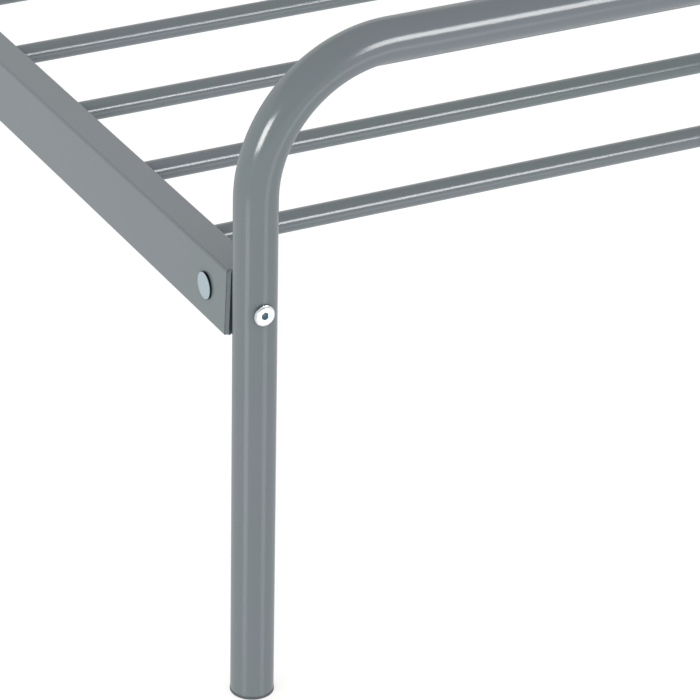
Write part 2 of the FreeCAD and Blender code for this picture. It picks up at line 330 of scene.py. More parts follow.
def grown(name, tree, inputs, start=None):
    """Runs a Geometry Nodes tree on a mesh and gives the plain mesh that comes out."""
    seed = bpy.data.objects.new(name, start or bpy.data.meshes.new(name))
    bpy.context.scene.collection.objects.link(seed)
    modifier = seed.modifiers.new(name, "NODES")
    modifier.node_group = tree
    for item in tree.interface.items_tree:
        if item.in_out == "INPUT" and item.name in inputs:
            modifier[item.identifier] = inputs[item.name]
    mesh = plain_mesh(seed)
    bpy.data.objects.remove(seed)
    return mesh


def plain_mesh(made):
    """The object's mesh as its modifiers leave it."""
    graph = bpy.context.evaluated_depsgraph_get()
    return bpy.data.meshes.new_from_object(made.evaluated_get(graph), preserve_all_data_layers=True,
                                           depsgraph=graph)


# ---------------------------------------------------------------- meshes and pieces
SMOOTH_LIMIT = math.radians(32)
FACE_MAP = "face"


def place_piece(name, mesh, material, nodes):
    """Puts a finished mesh into the scene as a piece of the bed."""
    mesh.name = name
    if material.name not in mesh.materials:
        mesh.materials.clear()
        mesh.materials.append(material)
    mesh.shade_smooth()
    mesh.set_sharp_from_angle(angle=SMOOTH_LIMIT)
    piece = bpy.data.objects.new(name, mesh)
    bpy.context.scene.collection.objects.link(piece)
    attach(piece, "root")
    if nodes:
        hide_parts(*nodes)


def with_wall(mesh, thickness):
    """Turns an open skin into a closed wall, by adding an inner skin and closing its rims."""
    skin = bpy.data.objects.new(mesh.name, mesh)
    bpy.context.scene.collection.objects.link(skin)
    wall = skin.modifiers.new("Wall", "SOLIDIFY")
    wall.thickness = thickness
    wall.offset = -1.0
    walled = plain_mesh(skin)
    bpy.data.objects.remove(skin)
    return walled


def circle(radius, height, count):
    """A level ring of points."""
    turns = [2 * math.pi * step / count for step in range(count)]
    return [Vector((radius * math.cos(turn), radius * math.sin(turn), height)) for turn in turns]


def hexagon(across_flats, height, count):
    """A level hexagon, with as many points as a ring that it is joined to."""
    points = []
    for step in range(count):
        turn = 2 * math.pi * step / count
        from_flat = (turn + math.pi / 6) % (math.pi / 3) - math.pi / 6
        reach = across_flats / 2 / math.cos(from_flat)
        points.append(Vector((reach * math.cos(turn), reach * math.sin(turn), height)))
    return points


def loft(name, rings):
    """A closed skin through a list of rings, from one pole to the other. A ring of one point is a pole."""
    shape = bmesh.new()
    rows = [[shape.verts.new(point) for point in ring] for ring in rings]
    for lower, upper in zip(rows, rows[1:]):
        count = max(len(lower), len(upper))
        for step in range(count):
            after = (step + 1) % count
            corners = [lower[step % len(lower)], lower[after % len(lower)],
                       upper[after % len(upper)], upper[step % len(upper)]]
            shape.faces.new(list(dict.fromkeys(corners)))
    return closed_mesh(name, shape)


def closed_mesh(name, shape):
    """Turns the faces of a closed shape outwards and gives it as a mesh."""
    bmesh.ops.recalc_face_normals(shape, faces=shape.faces)
    mesh = bpy.data.meshes.new(name)
    shape.to_mesh(mesh)
    shape.free()
    return mesh


def pole(height):
    """A ring of one point, on the axis."""
    return [Vector((0.0, 0.0, height))]


def face_map(mesh):
    """Keeps each point's place across the piece's axis in a UV map, for patterns turned about the axis."""
    layer = mesh.uv_layers.new(name=FACE_MAP)
    for loop in mesh.loops:
        place = mesh.vertices[loop.vertex_index].co
        layer.data[loop.index].uv = (place.x, place.y)


def corner_copies_tree():
    """Copies a piece to the four corners of the bed, and turns it half round past the middle."""
    graph, sizes = geometry_graph("Corner Copies", ["Geometry", "Spacing Across", "Spacing Along", "Height",
                                                    "Turn Across", "Turn Along", "Material"])
    corners = graph.add("GeometryNodeMeshGrid", {}, {"Size X": sizes["Spacing Across"],
                                                     "Size Y": sizes["Spacing Along"],
                                                     "Vertices X": 2, "Vertices Y": 2})
    raised = graph.add("GeometryNodeSetPosition", {}, {"Geometry": corners,
                                                       "Offset": graph.point(0, 0, sizes["Height"])})
    place = graph.add("ShaderNodeSeparateXYZ", {}, {"Vector": graph.add("GeometryNodeInputPosition")})
    turns = (place["X"] > 0) * sizes["Turn Across"] + (place["Y"] > 0) * sizes["Turn Along"]
    rotation = graph.add("FunctionNodeEulerToRotation", {}, {"Euler": graph.point(0, 0, turns * math.pi)})
    copies = graph.add("GeometryNodeInstanceOnPoints", {}, {"Points": raised, "Instance": sizes["Geometry"],
                                                            "Rotation": rotation})
    return finish_graph(graph, copies, sizes)


def at_corners(name, mesh, material, across, along, height, turn_across=0.0, turn_along=0.0):
    """Four copies of a mesh, one at each corner of the bed."""
    return grown(name, corner_copies_tree(), {
        "Spacing Across": across, "Spacing Along": along, "Height": height, "Turn Across": turn_across,
        "Turn Along": turn_along, "Material": material}, mesh)


# ---------------------------------------------------------------- finishes
class Finish(Graph):
    """A material under construction, with its Principled BSDF set up last."""

    def __init__(self, name):
        self.material = bpy.data.materials.new(name)
        self.material.use_nodes = True
        super().__init__(self.material.node_tree)
        self.coordinates = self.add("ShaderNodeTexCoord")

    def noise(self, scale, detail=2.0):
        """Cloudy noise between 0 and 1 over the object."""
        return self.add("ShaderNodeTexNoise", {}, {"Vector": self.coordinates["Object"],
                                                   "Scale": scale, "Detail": detail})["Fac"]

    def from_axis(self):
        """The distance of each point from its piece's own axis, from the map that the piece carries."""
        across = self.add("ShaderNodeSeparateXYZ", {},
                          {"Vector": self.add("ShaderNodeUVMap", {"uv_map": FACE_MAP})})
        return (across["X"] * across["X"] + across["Y"] * across["Y"]) ** 0.5

    def bump(self, height, distance):
        """A surface relief, in metres."""
        return self.add("ShaderNodeBump", {}, {"Height": height, "Distance": distance})

    def surface(self, sockets):
        """Ends the material in a Principled BSDF."""
        shader = self.add("ShaderNodeBsdfPrincipled", {}, sockets)
        self.add("ShaderNodeOutputMaterial", {}, {"Surface": shader})
        return self.material


def rgba(rgb):
    """A colour with its alpha."""
    return (*rgb, 1.0)


# How many features of each pattern there are to a metre.
PAINT_CLOUDS = 7.0
PAINT_NIBS = 35.0
PAINT_PEEL = 240.0
PAINT_GRAIN = 1400.0
BOLT_CLOUDS = 420.0
NUT_CLOUDS = 160.0
NUT_SPANGLES = 700.0
NUT_GRAIN = 900.0
PLASTIC_SCUFFS = 120.0
PLASTIC_GRAIN = 1800.0
RING_TURN = 24000.0

# The heights of the reliefs that no setting gives, in metres.
RING_DEPTH = 0.0000015
NUT_GRAIN_DEPTH = 0.000006
PLASTIC_GRAIN_DEPTH = 0.00002

# Where the socket's tint or a painted shade begins and where it is full, as distances in metres from a bolt's
# or a nut's axis.
SOCKET_TINT = (0.0026, 0.0031)
FACE_EDGE = (BOLT_FACE_RADIUS - 0.00018, BOLT_FACE_RADIUS - 0.00014)
SHOULDER_EDGE = (BOLT_FACE_RADIUS - 0.00005, BOLT_FACE_RADIUS)
RIM_EDGE = (BOLT_RADIUS - 0.0001, BOLT_RADIUS - 0.00005)
NUT_RIM_SHADE_SPAN = (NUT_RADIUS - 0.00045, NUT_RADIUS - 0.0002)

# A nib's middle and edge, as shares of the distance between nibs.
NIB = (0.008, 0.024)

PALE_GRAIN = (1.03, 1.03, 1.03, 1.0)
DARK_GRAIN = (0.94, 0.94, 0.94, 1.0)
CLOUDED_BOLT = (0.78, 0.83, 0.87, 1.0)
# Painted shade for the ring round the bolt head's raised face and for its rim.
BOLT_PAINTED_SHADE = (0.05, 0.06, 0.07, 1.0)
SOCKET_BLUE = (0.5, 0.83, 1.0, 1.0)
CLOUDED_NUT = (0.63, 0.74, 0.78, 1.0)
# Painted shade for the barrel nut disc's rim.
NUT_RIM_PAINTED_SHADE = (0.025, 0.05, 0.06, 1.0)
SCUFFED_PLASTIC = (0.13, 0.142, 0.15, 1.0)
PLASTIC_AND_PAINT_IOR = 1.5


def powder_coat(finish):
    """Semi-gloss grey powder coat: a faint drift of tone, fine grain, orange peel and a few nibs."""
    paint = Finish("grey_powder_coat")
    drift = paint.smooth_step(paint.noise(PAINT_CLOUDS), 0.3, 0.7)
    grain = paint.noise(PAINT_GRAIN, 1.0)
    nearest_nib = paint.add("ShaderNodeTexVoronoi", {}, {"Vector": paint.coordinates["Object"],
                                                         "Scale": PAINT_NIBS})["Distance"]
    nib = 1 - paint.smooth_step(nearest_nib, *NIB)
    tone = paint.blend(drift, rgba(finish.paint), rgba(finish.paint_tint))
    shade = paint.blend(grain * 0.5 + nib * 0.35, PALE_GRAIN, DARK_GRAIN)
    darker = paint.add("ShaderNodeMix", {"data_type": "RGBA", "blend_type": "MULTIPLY"},
                       {0: 1.0, 6: tone, 7: shade}, output=2)
    peel = paint.noise(PAINT_PEEL, 1.5)
    relief = paint.bump(peel + nib * 6.0, finish.peel_depth)
    return paint.surface({"Base Color": darker, "Roughness": finish.paint_roughness + grain * 0.05 - 0.025,
                          "Normal": relief, "IOR": PLASTIC_AND_PAINT_IOR})


def bright_zinc(finish):
    """Bright zinc plate on turned steel: fine rings about the axis, a blue socket, and painted shade on the
    face ring and the rim.
    """
    zinc = Finish("bright_zinc")
    radius = zinc.from_axis()
    rings = zinc.maths("SINE", radius * RING_TURN)
    cloud = zinc.noise(BOLT_CLOUDS)
    socket = 1 - zinc.smooth_step(radius, *SOCKET_TINT)
    outside_face = zinc.smooth_step(radius, *FACE_EDGE)
    on_shoulder = zinc.smooth_step(radius, *SHOULDER_EDGE)
    on_rim = zinc.smooth_step(radius, *RIM_EDGE)
    # Painted shade: the ring round the raised face and the rim are darkened, standing in for the shade of the
    # head's steps and its gap over the tube.
    painted_shade = outside_face - on_shoulder + on_rim
    plate = zinc.blend(cloud, rgba(finish.bolt_zinc), CLOUDED_BOLT)
    with_painted_shade = zinc.blend(painted_shade * 0.85, plate, BOLT_PAINTED_SHADE)
    tone = zinc.blend(socket, with_painted_shade, SOCKET_BLUE)
    return zinc.surface({"Base Color": tone, "Metallic": 1.0, "Roughness": 0.2 + cloud * 0.08,
                         "Normal": zinc.bump(rings, RING_DEPTH)})


def blue_zinc(finish):
    """Blue-passivated zinc plate on a pressed disc, clouded and satin, with painted shade on its rim."""
    zinc = Finish("blue_zinc")
    cloud = zinc.noise(NUT_CLOUDS, 3.0)
    spangle = zinc.add("ShaderNodeTexVoronoi", {}, {"Vector": zinc.coordinates["Object"],
                                                    "Scale": NUT_SPANGLES})
    # Painted shade: the disc's rim and chamfer are darkened, standing in for the shadowed gap under its edge.
    painted_rim_shade = zinc.smooth_step(zinc.from_axis(), *NUT_RIM_SHADE_SPAN)
    plate = zinc.blend(cloud, rgba(finish.nut_zinc), CLOUDED_NUT)
    tone = zinc.blend(painted_rim_shade, plate, NUT_RIM_PAINTED_SHADE)
    return zinc.surface({"Base Color": tone, "Metallic": 1.0,
                         "Roughness": 0.34 + spangle["Distance"] * 0.08,
                         "Normal": zinc.bump(zinc.noise(NUT_GRAIN), NUT_GRAIN_DEPTH)})


def moulded_plastic(finish):
    """Grey moulded polyethylene with a fine spark-eroded grain."""
    plastic = Finish("moulded_grey_plastic")
    grain = plastic.noise(PLASTIC_GRAIN)
    scuff = plastic.smooth_step(plastic.noise(PLASTIC_SCUFFS, 3.0), 0.5, 0.75)
    tone = plastic.blend(scuff, rgba(finish.plug_plastic), SCUFFED_PLASTIC)
    return plastic.surface({"Base Color": tone, "Roughness": 0.48 + grain * 0.12,
                            "Normal": plastic.bump(grain, PLASTIC_GRAIN_DEPTH),
                            "IOR": PLASTIC_AND_PAINT_IOR})


FINISHES = {"grey_paint": powder_coat, "zinc_bolt": bright_zinc, "zinc_nut": blue_zinc,
            "grey_plastic": moulded_plastic}


def finish_for(context, slot):
    """The material of a slot, made the first time that it is asked for."""
    maker = FINISHES[slot]
    name = context.scene.bed_finishes.get(slot)
    if name is None:
        name = maker(context.scene.bed_finishes).name
        context.scene.bed_finishes[slot] = name
    return bpy.data.materials[name]


# ---------------------------------------------------------------- bent ends
BEND_STEPS = 48
BAR_FACETS = 48


def bent_tube_tree():
    """A tube bent into an arch: up one leg, across and down the other, with a dent at each bolt."""
    graph, sizes = geometry_graph("Bent End Tube", [
        "Leg Spacing", "Foot Height", "Top Height", "End", "Bend Radius", "Tube Radius", "Facets",
        "Ring Spacing", "Bolt Height", "Dent Depth", "Dent Reach", "Material"])
    half = sizes["Leg Spacing"] * 0.5
    index = graph.add("GeometryNodeInputIndex")
    x = half - sizes["Leg Spacing"] * (index > 1.5)
    is_top = (index > 0.5) * (index < 2.5)
    z = sizes["Foot Height"] + (sizes["Top Height"] - sizes["Foot Height"]) * is_top
    chain = graph.add("GeometryNodeMeshLine", {}, {"Count": 4})
    corners = graph.add("GeometryNodeSetPosition", {}, {"Geometry": chain,
                                                        "Position": graph.point(x, sizes["End"], z)})
    square = graph.add("GeometryNodeMeshToCurve", {}, {"Mesh": corners})
    rounded = graph.add("GeometryNodeFilletCurve", {"mode": "POLY"},
                        {"Curve": square, "Count": BEND_STEPS, "Radius": sizes["Bend Radius"]})
    path = graph.add("GeometryNodeResampleCurve", {"mode": "LENGTH"},
                     {"Curve": rounded, "Length": sizes["Ring Spacing"]})
    section = graph.add("GeometryNodeCurvePrimitiveCircle", {}, {"Resolution": sizes["Facets"],
                                                                 "Radius": sizes["Tube Radius"]})
    tube = graph.add("GeometryNodeCurveToMesh", {}, {"Curve": path, "Profile Curve": section})
    place = graph.add("ShaderNodeSeparateXYZ", {}, {"Vector": graph.add("GeometryNodeInputPosition")})
    outwards = graph.maths("SIGN", sizes["End"])
    from_side = graph.maths("ABSOLUTE", place["X"]) - half
    from_face = place["Y"] - sizes["End"] - outwards * sizes["Tube Radius"]
    from_bolt = place["Z"] - sizes["Bolt Height"]
    away = (from_side * from_side + from_face * from_face + from_bolt * from_bolt) ** 0.5
    depth = (1 - graph.smooth_step(away / sizes["Dent Reach"], 0.0, 1.0)) * sizes["Dent Depth"]
    dented = graph.add("GeometryNodeSetPosition", {}, {"Geometry": tube,
                                                       "Offset": graph.point(0, outwards * depth * -1, 0)})
    return finish_graph(graph, dented, sizes)


class BED_OT_bent_ends(bpy.types.Operator):
    """Make the foot end and the head end, each one bent tube"""
    bl_idname = "bed.bent_ends"
    bl_label = "Bent Ends"

    def execute(self, context):
        ends = context.scene.bed_ends
        paint = finish_for(context, "grey_paint")
        tree = bent_tube_tree()
        for name, y, top in (("foot", -END_Y, FOOT_ARCH_HEIGHT), ("head", END_Y, HEAD_ARCH_HEIGHT)):
            skin = grown(f"{name}_end_tube", tree, {
                "Leg Spacing": 2 * LEG_X, "Foot Height": LEG_BOTTOM, "Top Height": top, "End": y,
                "Bend Radius": ends.bend_radius, "Tube Radius": ends.tube_diameter / 2,
                "Facets": ends.facets, "Ring Spacing": ends.ring_spacing, "Bolt Height": BOLT_HEIGHT,
                "Dent Depth": ends.dent_depth, "Dent Reach": ends.dent_reach, "Material": paint})
            tube = with_wall(skin, ends.tube_wall)
            place_piece(f"{name}_end_tube", tube, paint, [f"{name}_arch_tube"])
        return {"FINISHED"}


def row_places(graph, sizes):
    """The points where the bars of a row go."""
    return graph.add("GeometryNodeMeshLine", {}, {
        "Count": sizes["Count"], "Start Location": sizes["First"], "Offset": sizes["Step"]})


def bar_row_tree():
    """A row of straight round bars across the bed, their ends shaped to a round leg where there is one."""
    graph, sizes = geometry_graph("Bar Row", ["Count", "First", "Step", "Half Length", "Bar Radius",
                                              "Cope Radius", "Facets", "Material"])
    places = row_places(graph, sizes)
    line = graph.add("GeometryNodeCurvePrimitiveLine", {}, {
        "Start": graph.point(sizes["Half Length"] * -1, 0, 0),
        "End": graph.point(sizes["Half Length"], 0, 0)})
    section = graph.add("GeometryNodeCurvePrimitiveCircle", {}, {"Resolution": sizes["Facets"],
                                                                 "Radius": sizes["Bar Radius"]})
    bar = graph.add("GeometryNodeCurveToMesh", {}, {"Curve": line, "Profile Curve": section})
    place = graph.add("ShaderNodeSeparateXYZ", {}, {"Vector": graph.add("GeometryNodeInputPosition")})
    room = graph.maths("MAXIMUM", sizes["Cope Radius"] ** 2 - place["Y"] ** 2, 0.0)
    x = graph.maths("SIGN", place["X"]) * (sizes["Half Length"] - room ** 0.5)
    coped = graph.add("GeometryNodeSetPosition", {}, {"Geometry": bar,
                                                      "Position": graph.point(x, place["Y"], place["Z"])})
    row = graph.add("GeometryNodeInstanceOnPoints", {}, {"Points": places, "Instance": coped})
    return finish_graph(graph, row, sizes)


class BED_OT_head_cross_tubes(bpy.types.Operator):
    """Make the cross tubes that close the head end"""
    bl_idname = "bed.head_cross_tubes"
    bl_label = "Head Cross Tubes"

    def execute(self, context):
        ends = context.scene.bed_ends
        paint = finish_for(context, "grey_paint")
        skin = grown("head_cross_tubes", bar_row_tree(), {
            "Count": len(CROSS_NODES), "First": cross_axis(), "Step": (0.0, 0.0, CROSS_PITCH),
            "Half Length": LEG_X, "Bar Radius": ends.cross_diameter / 2, "Cope Radius": LEG_RADIUS,
            "Facets": BAR_FACETS, "Material": paint})
        tubes = with_wall(skin, ends.cross_wall)
        place_piece("head_cross_tubes", tubes, paint, CROSS_NODES)
        return {"FINISHED"}


def cross_axis():
    """The middle of the lowest cross tube."""
    return (0.0, END_Y, (CROSS_LOW.z + CROSS_HIGH.z) / 2)


def slat_axis():
    """The middle of the slat nearest the foot end."""
    return (0.0, (SLAT_LOW.y + SLAT_HIGH.y) / 2, (SLAT_LOW.z + SLAT_HIGH.z) / 2)


# ---------------------------------------------------------------- welded base
class BED_OT_slats(bpy.types.Operator):
    """Make the row of round slats between the rails"""
    bl_idname = "bed.slats"
    bl_label = "Slats"

    def execute(self, context):
        base = context.scene.bed_base
        paint = finish_for(context, "grey_paint")
        skin = grown("slats", bar_row_tree(), {
            "Count": len(SLAT_NODES), "First": slat_axis(), "Step": (0.0, SLAT_PITCH, 0.0),
            "Half Length": RAIL_INNER_X, "Bar Radius": base.slat_diameter / 2, "Cope Radius": 0.0,
            "Facets": BAR_FACETS, "Material": paint})
        slats = with_wall(skin, base.slat_wall)
        place_piece("slats", slats, paint, SLAT_NODES)
        return {"FINISHED"}


def rounded_section(x_low, x_high, z_low, z_high, radius):
    """Points round an upright rectangle with rounded corners, close together on its short sides."""
    corner_steps = 6
    short_side_steps = 12
    corner_hold = 0.0004
    hold = min(corner_hold, radius / 2)
    points = []
    corners = ((x_high, z_high, 1, 1), (x_low, z_high, -1, 1),
               (x_low, z_low, -1, -1), (x_high, z_low, 1, -1))
    for number, (x, z, toward_x, toward_z) in enumerate(corners):
        middle = Vector((x - toward_x * radius, z - toward_z * radius))
        start = number * math.pi / 2
        along = Vector((-math.sin(start), math.cos(start)))
        arc = [middle + radius * Vector((math.cos(start + turn), math.sin(start + turn)))
               for turn in [math.pi / 2 * step / corner_steps for step in range(corner_steps + 1)]]
        onward = Vector((-along.y, along.x))
        points += [arc[0] - along * hold, *arc, arc[-1] + onward * hold]
        if number % 2 == 0:
            across = x_high - x_low - 2 * (radius + hold)
            points += [points[-1] + onward * across * step / short_side_steps
                       for step in range(1, short_side_steps)]
    return points


def lean_ends(mesh, base):
    """Rolls what is near the rails' ends, as the tightened bolts do: in at the top and out at the bottom."""
    slope = (base.lean_top + base.lean_bottom) / (RAIL_HIGH.z - RAIL_LOW.z)
    pivot = RAIL_HIGH.z - base.lean_top / slope
    for vertex in mesh.vertices:
        place = vertex.co
        from_end = max(SADDLE_HIGH.y - abs(place.y), 0.0)
        fade = max(1.0 - from_end / base.lean_reach, 0.0) ** 2
        side = math.copysign(1.0, place.x)
        place.x -= side * slope * (place.z - pivot) * fade


def cope_y(x, axis_x, axis_y, radius):
    """Where a rail's end stops on a round face that bulges into the bed."""
    return axis_y - math.sqrt(max(radius ** 2 - (x - axis_x) ** 2, 0.0))


class BED_OT_side_rails(bpy.types.Operator):
    """Make the two rectangular side rails, their ends shaped to the saddles"""
    bl_idname = "bed.side_rails"
    bl_label = "Side Rails"

    def execute(self, context):
        base = context.scene.bed_base
        paint = finish_for(context, "grey_paint")
        axis_y = END_Y + base.saddle_ease
        radius = axis_y - SADDLE_LOW.y
        stations_to_end = 24
        half_way = [math.sin(math.pi / 2 * step / stations_to_end) for step in range(stations_to_end + 1)]
        along = [-share_along for share_along in half_way[:0:-1]] + half_way
        for name, side in (("left", 1), ("right", -1)):
            low_x, high_x = sorted((side * RAIL_INNER_X, side * RAIL_OUTER_X))
            outer = rounded_section(low_x, high_x, RAIL_LOW.z, RAIL_HIGH.z, base.rail_corner)
            wall = base.rail_wall
            inner = rounded_section(low_x + wall, high_x - wall, RAIL_LOW.z + wall, RAIL_HIGH.z - wall,
                                    base.rail_corner - wall)
            shape = bmesh.new()
            loops = []
            for section, stations in ((outer, along), (inner, along[::-1])):
                for share_along in stations:
                    loops.append([
                        shape.verts.new((x, share_along * cope_y(x, side * LEG_X, axis_y, radius), z))
                        for x, z in section])
            for first, second in zip(loops, loops[1:] + loops[:1]):
                for step in range(len(first)):
                    after = (step + 1) % len(first)
                    shape.faces.new((first[step], first[after], second[after], second[step]))
            rail = closed_mesh(f"{name}_side_rail", shape)
            lean_ends(rail, base)
            place_piece(f"{name}_side_rail", rail, paint, [f"side_rail_{name}"])
        return {"FINISHED"}


class BED_OT_rail_saddles(bpy.types.Operator):
    """Make the curved plates between the rails' ends and the legs"""
    bl_idname = "bed.rail_saddles"
    bl_label = "Rail Saddles"

    def execute(self, context):
        base = context.scene.bed_base
        paint = finish_for(context, "grey_paint")
        outer = END_Y + base.saddle_ease - SADDLE_LOW.y
        inner = outer - base.saddle_thickness
        half_angle = math.asin((SADDLE_HIGH.x - SADDLE_LOW.x) / 2 / outer)
        height = SADDLE_HIGH.z - SADDLE_LOW.z
        corner = base.saddle_corner
        corner_steps = 8
        turns = [math.pi / 2 * step / corner_steps for step in range(corner_steps + 1)]
        ends = [(corner * (1 - math.cos(turn)), corner * (1 - math.sin(turn))) for turn in turns]
        rows = [(rise, outer * half_angle - cut) for rise, cut in ends]
        rows += [(height - rise, half) for rise, half in reversed(rows)]
        columns = 24
        shape = bmesh.new()
        grids = []
        for radius, slant in ((outer, 0.0), (inner, base.saddle_slant)):
            grid = []
            for rise, half in rows:
                widest_turn = half / outer - slant / radius
                steps = [widest_turn * (2 * column / columns - 1) for column in range(columns + 1)]
                grid.append([shape.verts.new((radius * math.sin(turn), radius * math.cos(turn), rise))
                             for turn in steps])
            grids.append(grid)
        for grid in grids:
            for low, high in zip(grid, grid[1:]):
                for column in range(columns):
                    shape.faces.new((low[column], low[column + 1], high[column + 1], high[column]))
        rims = []
        for grid in grids:
            right = [row[-1] for row in grid]
            left = [row[0] for row in reversed(grid)]
            rims.append(grid[0] + right[1:] + grid[-1][-2::-1] + left[1:-1])
        for step in range(len(rims[0])):
            after = (step + 1) % len(rims[0])
            shape.faces.new((rims[0][step], rims[0][after], rims[1][after], rims[1][step]))
        saddle = closed_mesh("rail_saddle", shape)
        saddles = at_corners("rail_saddles", saddle, paint, 2 * LEG_X, 2 * (END_Y + base.saddle_ease),
                             SADDLE_LOW.z, turn_along=1.0)
        lean_ends(saddles, base)
        place_piece("rail_saddles", saddles, paint,
                    [f"rail_saddle_{place}" for place in PLACES])
        return {"FINISHED"}


SEAM_POINTS = 80
BEAD_FACETS = 10
BEAD_UNEVENNESS = 260.0
RIPPLE_TURN = 1500.0
SLAT_WELD_SWEEP = math.radians(230)
CROSS_WELD_SWEEP = math.radians(300)
SLAT_WELD_SEED = 3
CROSS_WELD_SEED = 5


def weld_ring_tree():
    """A rippled weld bead round the sides and the bottom of each end of every bar of a row."""
    graph, sizes = geometry_graph("Weld Rings", ["Count", "First", "Step", "Half Length", "Bar Radius",
                                                 "Cope Radius", "Sweep", "Bead Radius", "Ripple", "Seed",
                                                 "Material"])
    ring = graph.add("GeometryNodeCurveArc", {"mode": "RADIUS"}, {
        "Resolution": SEAM_POINTS, "Radius": sizes["Bar Radius"],
        "Start Angle": math.pi * 1.5 - sizes["Sweep"] * 0.5, "Sweep Angle": sizes["Sweep"]})
    flat = graph.add("ShaderNodeSeparateXYZ", {}, {"Vector": graph.add("GeometryNodeInputPosition")})
    room = graph.maths("MAXIMUM", sizes["Cope Radius"] ** 2 - flat["X"] ** 2, 0.0)
    upright = graph.point(sizes["Half Length"] - room ** 0.5, flat["X"], flat["Y"])
    seam = graph.add("GeometryNodeSetPosition", {}, {"Geometry": ring, "Position": upright})
    both_ends = graph.add("GeometryNodeMeshLine", {}, {"Count": 2, "Offset": (0.0, 0.0, 0.0)})
    turned = graph.point(0, 0, graph.add("GeometryNodeInputIndex") * math.pi)
    pair = graph.add("GeometryNodeInstanceOnPoints", {}, {
        "Points": both_ends, "Instance": seam,
        "Rotation": graph.add("FunctionNodeEulerToRotation", {}, {"Euler": turned})})
    places = row_places(graph, sizes)
    row = graph.add("GeometryNodeInstanceOnPoints", {}, {"Points": places, "Instance": pair})
    seams = graph.add("GeometryNodeRealizeInstances", {}, {"Geometry": row})
    place = graph.add("GeometryNodeInputPosition")
    uneven = graph.add("ShaderNodeTexNoise", {"noise_dimensions": "4D"},
                       {"Vector": place, "W": sizes["Seed"] * 1.0, "Scale": BEAD_UNEVENNESS,
                        "Detail": 1.0})["Fac"]
    along = graph.add("GeometryNodeSplineParameter")["Length"]
    ripple = graph.maths("ABSOLUTE", graph.maths("SINE", along * RIPPLE_TURN)) * sizes["Ripple"]
    thickness = 0.75 + ripple + uneven * 0.4
    swollen = graph.add("GeometryNodeSetCurveRadius", {}, {"Curve": seams, "Radius": thickness})
    section = graph.add("GeometryNodeCurvePrimitiveCircle", {}, {"Resolution": BEAD_FACETS,
                                                                 "Radius": sizes["Bead Radius"]})
    beads = graph.add("GeometryNodeCurveToMesh", {}, {"Curve": swollen, "Profile Curve": section,
                                                      "Fill Caps": True, "Scale": thickness})
    return finish_graph(graph, beads, sizes)


class BED_OT_weld_beads(bpy.types.Operator):
    """Make the weld beads at the ends of the slats and of the head end's cross tubes"""
    bl_idname = "bed.weld_beads"
    bl_label = "Weld Beads"

    def execute(self, context):
        base = context.scene.bed_base
        ends = context.scene.bed_ends
        paint = finish_for(context, "grey_paint")
        tree = weld_ring_tree()
        slat_welds = grown("slat_welds", tree, {
            "Count": len(SLAT_NODES), "First": slat_axis(), "Step": (0.0, SLAT_PITCH, 0.0),
            "Half Length": RAIL_INNER_X, "Bar Radius": base.slat_diameter / 2, "Cope Radius": 0.0,
            "Sweep": SLAT_WELD_SWEEP, "Bead Radius": base.weld_radius, "Ripple": base.weld_ripple,
            "Seed": SLAT_WELD_SEED, "Material": paint})
        place_piece("slat_welds", slat_welds, paint, [])
        cross_welds = grown("cross_tube_welds", tree, {
            "Count": len(CROSS_NODES), "First": cross_axis(), "Step": (0.0, 0.0, CROSS_PITCH),
            "Half Length": LEG_X, "Bar Radius": ends.cross_diameter / 2, "Cope Radius": LEG_RADIUS,
            "Sweep": CROSS_WELD_SWEEP, "Bead Radius": base.weld_radius, "Ripple": base.weld_ripple,
            "Seed": CROSS_WELD_SEED, "Material": paint})
        place_piece("cross_tube_welds", cross_welds, paint, [])
        return {"FINISHED"}


# ---------------------------------------------------------------- fasteners
RING_POINTS = 72
CHAMFER_BEND = 0.3


class BED_OT_joint_bolts(bpy.types.Operator):
    """Make the four flat-headed socket bolts"""
    bl_idname = "bed.joint_bolts"
    bl_label = "Joint Bolts"

    def execute(self, context):
        sizes = context.scene.bed_fasteners
        zinc = finish_for(context, "zinc_bolt")
        face = sizes.bolt_head_thickness
        radius = BOLT_RADIUS
        chamfer = sizes.bolt_head_chamfer
        shank = sizes.bolt_diameter / 2
        tip = face - (BOLT_HIGH.y - BOLT_LOW.y)
        tip_chamfer = 0.001
        under_head_ease = 0.00015
        key = sizes.socket_across_flats
        socket_lip = 0.00025
        side_taper = 0.00005
        face_bevel_width = 0.00025
        face_bevel_start = 0.00015
        face_bevel_drop = 0.0001
        floor_radius = key * 0.35
        drill_point = key * 0.2
        raised = sizes.bolt_face_radius
        shoulder = face - sizes.bolt_face_step
        floor = face - sizes.socket_depth
        rings = [pole(tip),
                 circle(shank - tip_chamfer, tip, RING_POINTS),
                 circle(shank, tip + tip_chamfer, RING_POINTS),
                 circle(shank, 0.0, RING_POINTS),
                 circle(radius - under_head_ease, 0.0, RING_POINTS),
                 circle(radius, under_head_ease, RING_POINTS),
                 circle(radius - side_taper, shoulder - chamfer, RING_POINTS),
                 circle(radius - CHAMFER_BEND * chamfer, shoulder - CHAMFER_BEND * chamfer, RING_POINTS),
                 circle(radius - chamfer, shoulder, RING_POINTS),
                 circle(raised, shoulder, RING_POINTS),
                 circle(raised - face_bevel_start, face - face_bevel_drop, RING_POINTS),
                 circle(raised - face_bevel_width, face, RING_POINTS),
                 circle(key / math.sqrt(3) + 2 * socket_lip, face, RING_POINTS),
                 hexagon(key + 2 * socket_lip, face, RING_POINTS),
                 hexagon(key, face - socket_lip, RING_POINTS),
                 hexagon(key, floor, RING_POINTS),
                 circle(floor_radius, floor, RING_POINTS),
                 pole(floor - drill_point)]
        bolt = loft("joint_bolt", rings)
        face_map(bolt)
        bolt.transform(Matrix.Rotation(math.pi / 2, 4, "X"))
        bolts = at_corners("joint_bolts", bolt, zinc, 2 * (LEG_X + sizes.bolt_off_centre),
                           2 * (END_Y + LEG_RADIUS), BOLT_HEIGHT, turn_along=1.0)
        place_piece("joint_bolts", bolts, zinc, [f"joint_bolt_{place}" for place in PLACES])
        return {"FINISHED"}


